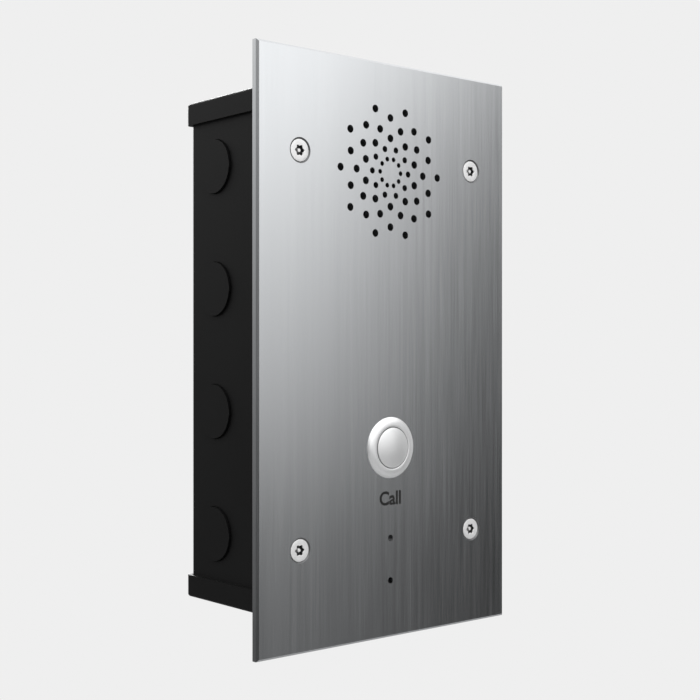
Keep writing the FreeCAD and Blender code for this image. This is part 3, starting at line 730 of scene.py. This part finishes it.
def screwHeads():
    # four whole screws, grown ring by ring from the tip to the head and down into the recess
    look = screwLook
    top = plateFront + look["below"]
    coneEnd = top + look["head"] - look["shank"]
    rings = [
        (0.9, 8.0, 0), (1.35, 7.7, 0), (look["core"], 7.3, 0), (look["core"], coneEnd + 0.3, 0),
        (look["shank"], coneEnd, 0), (look["head"] - 0.12, top + 0.16, 0), (look["head"], top + 0.07, 0),
        (look["head"] - 0.06, top + 0.01, 0), (look["head"] - 0.4, top - 0.04, 0), (2.9, top - 0.06, 0),
        (look["lobe"] + 0.12, top - 0.05, 1), (look["lobe"] + 0.03, top + 0.03, 1),
        (look["lobe"] - 0.04, top + look["recess"], 1), (look["pin"] + 0.12, top + look["recess"] + 0.05, 0),
        (look["pin"], top + look["recess"] - 0.1, 0), (look["pin"] - 0.02, top + 0.45, 0),
        (look["pin"] - 0.15, top + 0.32, 0),
    ]
    bm = bmesh.new()
    low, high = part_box("panel_screws")
    inset = look["head"] * mm
    for x in (low.x + inset, high.x - inset):
        for z in (low.z + inset, high.z - inset):
            tip = bmesh.ops.create_circle(bm, cap_ends=True, segments=look["segments"],
                                          radius=rings[0][0] * mm)
            bmesh.ops.rotate(bm, verts=tip["verts"], matrix=Matrix.Rotation(math.pi / 2, 3, "X"))
            bmesh.ops.translate(bm, verts=tip["verts"], vec=(x, rings[0][1] * mm, z))
            loop = list({e for v in tip["verts"] for e in v.link_edges})
            for radius, y, lobed in rings[1:]:
                loop = grow(bm, loop, x, z, radius, y, look["lobeSwing"] * lobed)
            bmesh.ops.holes_fill(bm, edges=loop, sides=0)
            gather(bm, thread(x, z, look["core"], look["shank"], look["pitch"], coneEnd + 0.6,
                              look["threadEnd"], look["threadSteps"]))
    finishPiece("panel_screw_set", bm, "front_panel", steel["screw"], ["panel_screws"])


buttonLook = {
    "bezel": 12.25,
    "bezelFace": plateFront - 1.5,
    "barrel": 10.95,
    "barrelCore": 10.5,
    "pitch": 1.0,
    "threadStart": 0.7,
    "threadEnd": 17.5,
    "threadSteps": 60,
    "bore": 8.25,
    "stemBore": 3.2,
    "rear": 18.0,
    "cap": 8.15,
    "rim": plateFront - 1.6,
    "crown": 0.845,  # just under the solid's, so the dome's tip stays inside its facets
    "domeRings": 12,
    "steps": 96,
}


def buttonBody():
    look = buttonLook
    face = look["bezelFace"]
    bore = look["bore"]
    rear = look["rear"]
    profile = [
        (bore, 6.0), (bore, face + 0.5), (bore + 0.03, face + 0.22), (bore + 0.12, face + 0.07),
        (bore + 0.35, face), (9.2, face + 0.01), (9.8, face + 0.06), (10.4, face + 0.18),
        (10.9, face + 0.35), (11.4, face + 0.6), (11.8, face + 0.87), (12.05, face + 1.1),
        (look["bezel"] - 0.03, face + 1.28),
        (look["bezel"], face + 1.38), (look["bezel"], plateFront - 0.01), (11.9, plateFront - 0.01),
        (11.9, plateFront - 0.4), (11.3, plateFront - 0.4), (11.3, plateFront), (look["barrel"], plateFront),
        (look["barrel"], 0.3), (look["barrelCore"], 0.6), (look["barrelCore"], rear - 0.3),
        (look["barrelCore"] - 0.3, rear), (bore + 0.2, rear), (bore, rear - 0.2), (bore, 8.0),
        (look["stemBore"] + 0.2, 8.0), (look["stemBore"], 7.8), (look["stemBore"], 6.2),
        (look["stemBore"] + 0.2, 6.0),
    ]
    bm = bmesh.new()
    turned(bm, profile, buttonAt.x, buttonAt.z, look["steps"], closed=True)
    gather(bm, thread(buttonAt.x, buttonAt.z, look["barrelCore"], look["barrel"], look["pitch"],
                      look["threadStart"], look["threadEnd"], look["threadSteps"]))
    finishPiece("call_button_body", bm, "front_panel", steel["button"], ["button_body"], 30)


def buttonCap():
    look = buttonLook
    cap = look["cap"]
    rim = look["rim"]
    ball = (cap ** 2 + look["crown"] ** 2) / (2 * look["crown"])
    radii = [cap * i / look["domeRings"] for i in range(look["domeRings"])]
    profile = [(r, rim - look["crown"] + ball - math.sqrt(ball ** 2 - r ** 2)) for r in radii]
    profile += [
        (cap - 0.25, rim - 0.02), (cap - 0.07, rim + 0.05), (cap, rim + 0.22), (cap, 0.2),
        (cap - 0.8, 0.2), (cap - 0.8, 1.3), (cap, 1.3), (cap, 2.45), (cap - 0.15, 2.6), (7.05, 2.6),
        (6.9, 2.45), (6.9, -2.2), (6.7, -2.4), (3.4, -2.4), (3.15, -2.1), (3.15, 9.1), (2.85, 9.4), (0, 9.4),
    ]
    bm = bmesh.new()
    turned(bm, profile, buttonAt.x, buttonAt.z, look["steps"])
    finishPiece("call_button_cap", bm, "call_button", steel["button"], ["button_cap"], 30)


springLook = {
    "wire": 0.35,
    "coil": 5.25,
    "turns": 6,
    "steps": 40,
    "sides": 10,
    "pressed": 0.76,  # share of its length that is left when the button is down
}


def buttonSpring():
    look = springLook
    wire = look["wire"]
    low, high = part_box("return_spring")
    start = low.y / mm + wire
    rise = ((high.y - low.y) / mm - 2 * wire) / look["turns"]
    bm = bmesh.new()
    made = bmesh.ops.create_circle(bm, segments=look["sides"], radius=wire * mm)
    bmesh.ops.translate(bm, verts=made["verts"],
                        vec=(buttonAt.x + look["coil"] * mm, start * mm, buttonAt.z))
    helix(bm, bm.verts[:] + bm.edges[:], buttonAt.x, buttonAt.z, look["turns"], rise, look["steps"])
    spring = finishPiece("return_spring_coil", bm, "front_panel", steel["spring"],
                         ["return_spring"])
    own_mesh(spring)


leadLook = {
    "thick": 0.65,
    "thin": 0.5,
    "apart": 1.4,  # between the sensor leads
    "speaker": [(3.5, 14.9, 50.2), (3.5, 19.8, 50.2), (2.8, 24.6, 47.6), (2.0, 28.6, 43.0),
                (1.0, 29.4, 34.5), (1.0, 23.6, 34.5)],
    # the last number is how far each of the pair lies from the route
    "button": [(-5.0, 27.5, -39.0, 4.0), (-5.0, 32.8, -39.0, 4.0), (-9.8, 37.4, -34.0, 3.4),
               (-15.4, 39.6, -27.4, 2.6), (-21.9, 39.4, -19.6, 1.9), (-28.0, 37.2, -11.6, 1.5),
               (-32.8, 33.6, -3.4, 1.2), (-34.5, 29.8, 4.0, 0.9), (-34.5, 23.6, 4.0, 0.9)],
    "sensor": [(-11.5, 7.2, -72.5), (-11.5, 11.9, -72.5), (-15.0, 15.0, -66.6), (-17.2, 16.2, -59.6),
               (-17.9, 17.0, -51.4), (-17.8, 18.6, -43.0), (-16.9, 21.6, -34.8), (-14.7, 25.6, -27.4),
               (-11.2, 29.0, -21.0), (-9.0, 30.4, -14.0), (-9.0, 23.6, -14.0)],
}


def lead(group, ending, color, radius, route):
    name = group + "_lead_" + ending
    stands = group + "_leads"
    finishMesh(name, tube(route, radius), "front_panel", plastic[color], [stands])


def leads():
    look = leadLook
    for side, ending, color in ((1, "red", "red"), (-1, "black", "sheath")):
        lead("speaker", ending, color, look["thick"], [(side * x, y, z) for x, y, z in look["speaker"]])
    for side, ending, color in ((1, "yellow", "yellow"), (-1, "blue", "blueWire")):
        route = [(x, y, z + side * apart) for x, y, z, apart in look["button"]]
        lead("button", ending, color, look["thick"], route)
    for i, color in enumerate(("white", "sheath", "greenWire")):
        route = [(x + look["apart"] * (i - 1), y, z) for x, y, z in look["sensor"]]
        lead("sensor", str(i + 1), color, look["thin"], route)


chipLook = {
    # middle x and z, width, height, thickness, legs along each side, legs on all four sides
    "places": [(-16, 22, 12, 12, 1.4, 11, True), (-32, 24, 8, 6, 1.4, 6, False),
               (-30, 12, 6, 5, 1.2, 4, False), (18, 2, 7, 5, 1.6, 4, False)],
    "pitch": 0.95,
    "leg": 0.34,
    "dot": 0.42,  # radius of the mark by the first leg
    "dotInset": 1.1,
}


def gullLeg(legs, x, z, reach, side, thick, sideways):
    # one bent leg in three bricks: out of the package, along the board, and down between the two
    y = boardRear
    half = chipLook["leg"] / 2
    inner, knee, foot = (side * (reach + step) for step in (-0.05, 0.45, 1.0))
    spans = [(inner, knee, y + thick * 0.42, y + thick * 0.55), (knee, foot, y, y + 0.16),
             (knee - 0.08, knee + 0.08, y, y + thick * 0.55)]
    for a, b, y0, y1 in spans:
        a, b = sorted((a, b))
        if sideways:
            brick(legs, (x + a, y0, z - half), (x + b, y1, z + half))
        else:
            brick(legs, (x - half, y0, z + a), (x + half, y1, z + b))


def chips():
    bodies = bmesh.new()
    legs = bmesh.new()
    y = boardRear
    for x, z, w, h, t, count, square in chipLook["places"]:
        brick(bodies, (x - w / 2, y + 0.12, z - h / 2), (x + w / 2, y + t, z + h / 2), 0.18, 1)
        dot = [(0, y + t + 0.005), (chipLook["dot"], y + t + 0.005), (chipLook["dot"], y + t - 0.05),
               (0, y + t - 0.05)]
        dotX = x - w / 2 + chipLook["dotInset"]
        dotZ = z + h / 2 - chipLook["dotInset"]
        turned(bodies, dot, dotX * mm, dotZ * mm, 16)
        for i in range(count):
            step = (i - (count - 1) / 2) * chipLook["pitch"]
            for side in (-1, 1):
                gullLeg(legs, x + step, z, h / 2, side, t, False)
                if square:
                    gullLeg(legs, x, z + step, w / 2, side, t, True)
    finishPiece("chip_packages", bodies, "front_panel", plastic["chip"], ["chips"], 30)
    finishPiece("chip_legs", legs, "front_panel", steel["tin"], (), 30)


smallParts = {
    # rows of small parts on the board's rear: first x and z, step, how many, and their size
    "rows": [(-26.5, 33.5, 2.4, 0, 5, 1.6, 0.8), (-8.0, 26.0, 0, -2.4, 5, 0.8, 1.6),
             (-25.5, 18.0, 0, -2.2, 4, 1.6, 0.8), (7.5, 33.5, 2.6, 0, 7, 1.6, 0.8),
             (9.5, 8.0, 2.6, 0, 4, 0.8, 1.6), (6.0, -4.0, 2.7, 0, 8, 1.6, 0.8),
             (-14.5, -4.0, 0, -2.2, 4, 1.6, 0.8), (-6.5, 4.0, 0, -2.2, 4, 1.6, 0.8)],
    "tall": [(4.0, 3.0, 3.2, 1.6, 1.5), (10.0, 1.0, 3.5, 2.8, 1.9), (-22.0, 8.0, 5.0, 3.2, 1.0),
             (26.0, -3.0, 3.2, 1.6, 1.5), (-26.0, 26.0, 3.2, 2.5, 0.9)],
    "seed": 7,
    "stray": 0.05,  # how far a small part may sit from its place
    "height": 0.5,
    "endHeight": 0.54,
    "endHalf": 0.2,
}


def boardParts():
    look = smallParts
    bodies = bmesh.new()
    ends = bmesh.new()
    y = boardRear
    stray = look["stray"]
    endHalf = look["endHalf"]
    random.seed(look["seed"])
    for x, z, dx, dz, count, w, h in look["rows"]:
        for i in range(count):
            px = x + dx * i + random.uniform(-stray, stray)
            pz = z + dz * i + random.uniform(-stray, stray)
            brick(bodies, (px - w / 2 + 0.1, y, pz - h / 2 + 0.05),
                  (px + w / 2 - 0.1, y + look["height"], pz + h / 2 - 0.05), 0.05, 1)
            top = y + look["endHeight"]
            for side in (-1, 1):
                if w > h:
                    middle = px + side * w * 0.42
                    brick(ends, (middle - endHalf, y, pz - h / 2), (middle + endHalf, top, pz + h / 2))
                else:
                    middle = pz + side * h * 0.42
                    brick(ends, (px - w / 2, y, middle - endHalf), (px + w / 2, top, middle + endHalf))
    for x, z, w, h, t in look["tall"]:
        brick(bodies, (x - w / 2, y, z - h / 2), (x + w / 2, y + t, z + h / 2), 0.15, 2)
        for side in (-1, 1):
            middle = x + side * w / 2
            brick(ends, (middle - 0.25, y, z - h * 0.35), (middle + 0.25, y + t * 0.5, z + h * 0.35))
    finishPiece("board_small_parts", bodies, "front_panel", plastic["chip"], (), 30)
    finishPiece("board_solder_ends", ends, "front_panel", steel["tin"], (), 30)


capacitorLook = {
    # middle x and z, radius, height
    "cans": [(30.0, 24.0, 4.0, 12.0), (30.0, 14.0, 4.0, 12.0), (31.0, 4.0, 3.15, 11.0)],
    "lip": 0.55,
    "steps": 40,
    "score": 0.16 * mm,  # half the width of a scored line
    "scoreReach": 0.72,  # share of the radius
}


def capacitors():
    sleeves = bmesh.new()
    tops = bmesh.new()
    for x, z, r, height in capacitorLook["cans"]:
        top = boardRear + height
        low = boardRear + 0.3
        lip = capacitorLook["lip"]
        profile = [(0, low), (r - 0.5, low), (r, low + 0.4), (r, low + 1.5), (r - 0.3, low + 1.9),
                   (r - 0.3, low + 2.1), (r, low + 2.5), (r, top - 0.5), (r - 0.15, top - 0.15),
                   (r - 0.4, top), (r - lip, top - 0.02), (r - lip, top - 0.3), (0, top - 0.3)]
        turned(sleeves, profile, x * mm, z * mm, capacitorLook["steps"])
        cover = [(0, top - 0.12), (r - lip - 0.25, top - 0.12), (r - lip - 0.02, top - 0.05),
                 (r - lip - 0.02, top - 0.29), (0, top - 0.29)]
        turned(tops, cover, x * mm, z * mm, capacitorLook["steps"])
    finishPiece("capacitor_sleeves", sleeves, "front_panel", plastic["sleeve"], ["capacitors"])
    finishPiece("capacitor_tops", tops, "front_panel", canTop())


def canTop():
    # bright end with a scored cross; the scored lines are darker in the colour, painted shade in the grooves
    f = Finish("scored_can_end")
    scored = None
    px, _, pz = f.parts(f.at())
    for x, z, r, _ in capacitorLook["cans"]:
        for along, across, a, b in ((px, pz, x, z), (pz, px, z, x)):
            near = 1 - (across - b * mm).maths("ABSOLUTE").over(capacitorLook["score"], 0.08 * mm)
            end = r * capacitorLook["scoreReach"] * mm
            reach = 1 - (along - a * mm).maths("ABSOLUTE").over(end, 0.1 * mm)
            line = near * reach
            scored = line if scored is None else scored.maths("MAXIMUM", line)
    cloud = f.noise(900, 3.0)
    # painted shade: darker colour along the scored lines
    color = f.blend((scored * 0.8 + cloud * 0.2).clamp(), grey(0.72), grey(0.30))
    return f.surface(f.bump(1 - scored, 0.08 * mm, 0.9), Base_Color=color, Metallic=1.0,
                     Roughness=(cloud - 0.5) * 0.12 + 0.3)


def transformerParts():
    # taped winding, pins in two rows, and the bobbin's rails
    low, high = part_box("transformer")
    x0, y0, z0 = (c / mm for c in low)
    x1, y1, z1 = (c / mm for c in high)
    bm = bmesh.new()
    brick(bm, (x0 + 0.5, y0 + 3.1, z0 + 0.5), (x1 - 0.5, y0 + 8.9, z1 - 0.5), 0.9, 3)
    finishPiece("transformer_winding", bm, "front_panel", plastic["amber"])
    pins = bmesh.new()
    for i in range(4):
        for z in (z0 - 0.7, z1 + 0.7):
            x = x0 + 3 + i * 3.3
            brick(pins, (x - 0.3, y0, z - 0.3), (x + 0.3, y0 + 2.4, z + 0.3), 0.1, 1)
    finishPiece("transformer_pins", pins, "front_panel", steel["tin"])
    rails = bmesh.new()
    for z in (z0 - 1.1, z1 - 0.1):
        brick(rails, (x0 + 0.8, y0 + 0.9, z), (x1 - 0.8, y0 + 2.9, z + 1.2), 0.2, 2)
    finishPiece("transformer_bobbin", rails, "front_panel", plastic["black"])


def solderJoints():
    # small cones of solder on the board's front face, under the pins
    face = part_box("main_board")[0].y / mm
    leadSockets = ((0.0, 34.5), (-34.5, 4.0), (-9.0, -14.0))
    places = [(x, -14.2) for x in (1.3, 6.4, 11.5, 16.6, 21.6, 26.7)]  # terminal header
    places += [(-24 + (i - 3.5) * 1.27, -4.0 + 2.54 * (i % 2)) for i in range(8)]  # network socket
    places += [(x, z) for x in (12, 15.3, 18.6, 21.9) for z in (12.4, 27.6)]  # transformer
    places += [(x, z) for x in (-2.5, 2.5) for z in (12, 20, 28)]  # relay
    places += [(x + s, z) for x, z, _, _ in capacitorLook["cans"] for s in (-1.25, 1.25)]
    places += [(x + s, z) for x, z in leadSockets for s in (-2, 0, 2)]
    bm = bmesh.new()
    for x, z in places:
        cone = [(0, face - 1.1), (0.3, face - 1.05), (0.42, face - 0.6), (0.9, face + 0.02),
                (0, face + 0.02)]
        turned(bm, cone, x * mm, z * mm, 12)
    finishPiece("solder_joints", bm, "front_panel", steel["tin"])


def jackShield():
    # sprung tabs and folded seam of the network socket's screen
    low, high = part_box("network_jack")
    x0, y0, z0 = (c / mm for c in low)
    x1, y1, z1 = (c / mm for c in high)
    bm = bmesh.new()
    for x in (x0 - 0.22, x1 + 0.02):
        for start, end in ((3.5, 5.2), (12.5, 13.7)):
            brick(bm, (x, y0 + 3.5, z0 + start), (x + 0.2, y0 + 8.5, z0 + end), 0.08, 1)
    for x in (x0 + 3.6, x1 - 5.6):
        brick(bm, (x, y1 + 0.01, z0 + 3.0), (x + 2.0, y1 + 0.25, z0 + 9.5), 0.1, 1)
    seam = (x0 + x1) / 2
    brick(bm, (seam - 0.15, y1 + 0.01, z0 + 11.0), (seam + 0.15, y1 + 0.08, z1 - 0.2), 0.03, 1)
    finishPiece("jack_screen_tabs", bm, "front_panel", steel["tin"])


screwHeads()
buttonBody()
buttonCap()
buttonSpring()
print("screws and button made")
leads()
chips()
boardParts()
capacitors()
transformerParts()
solderJoints()
jackShield()
print("electronics made")
callLabel()
print("label printed")
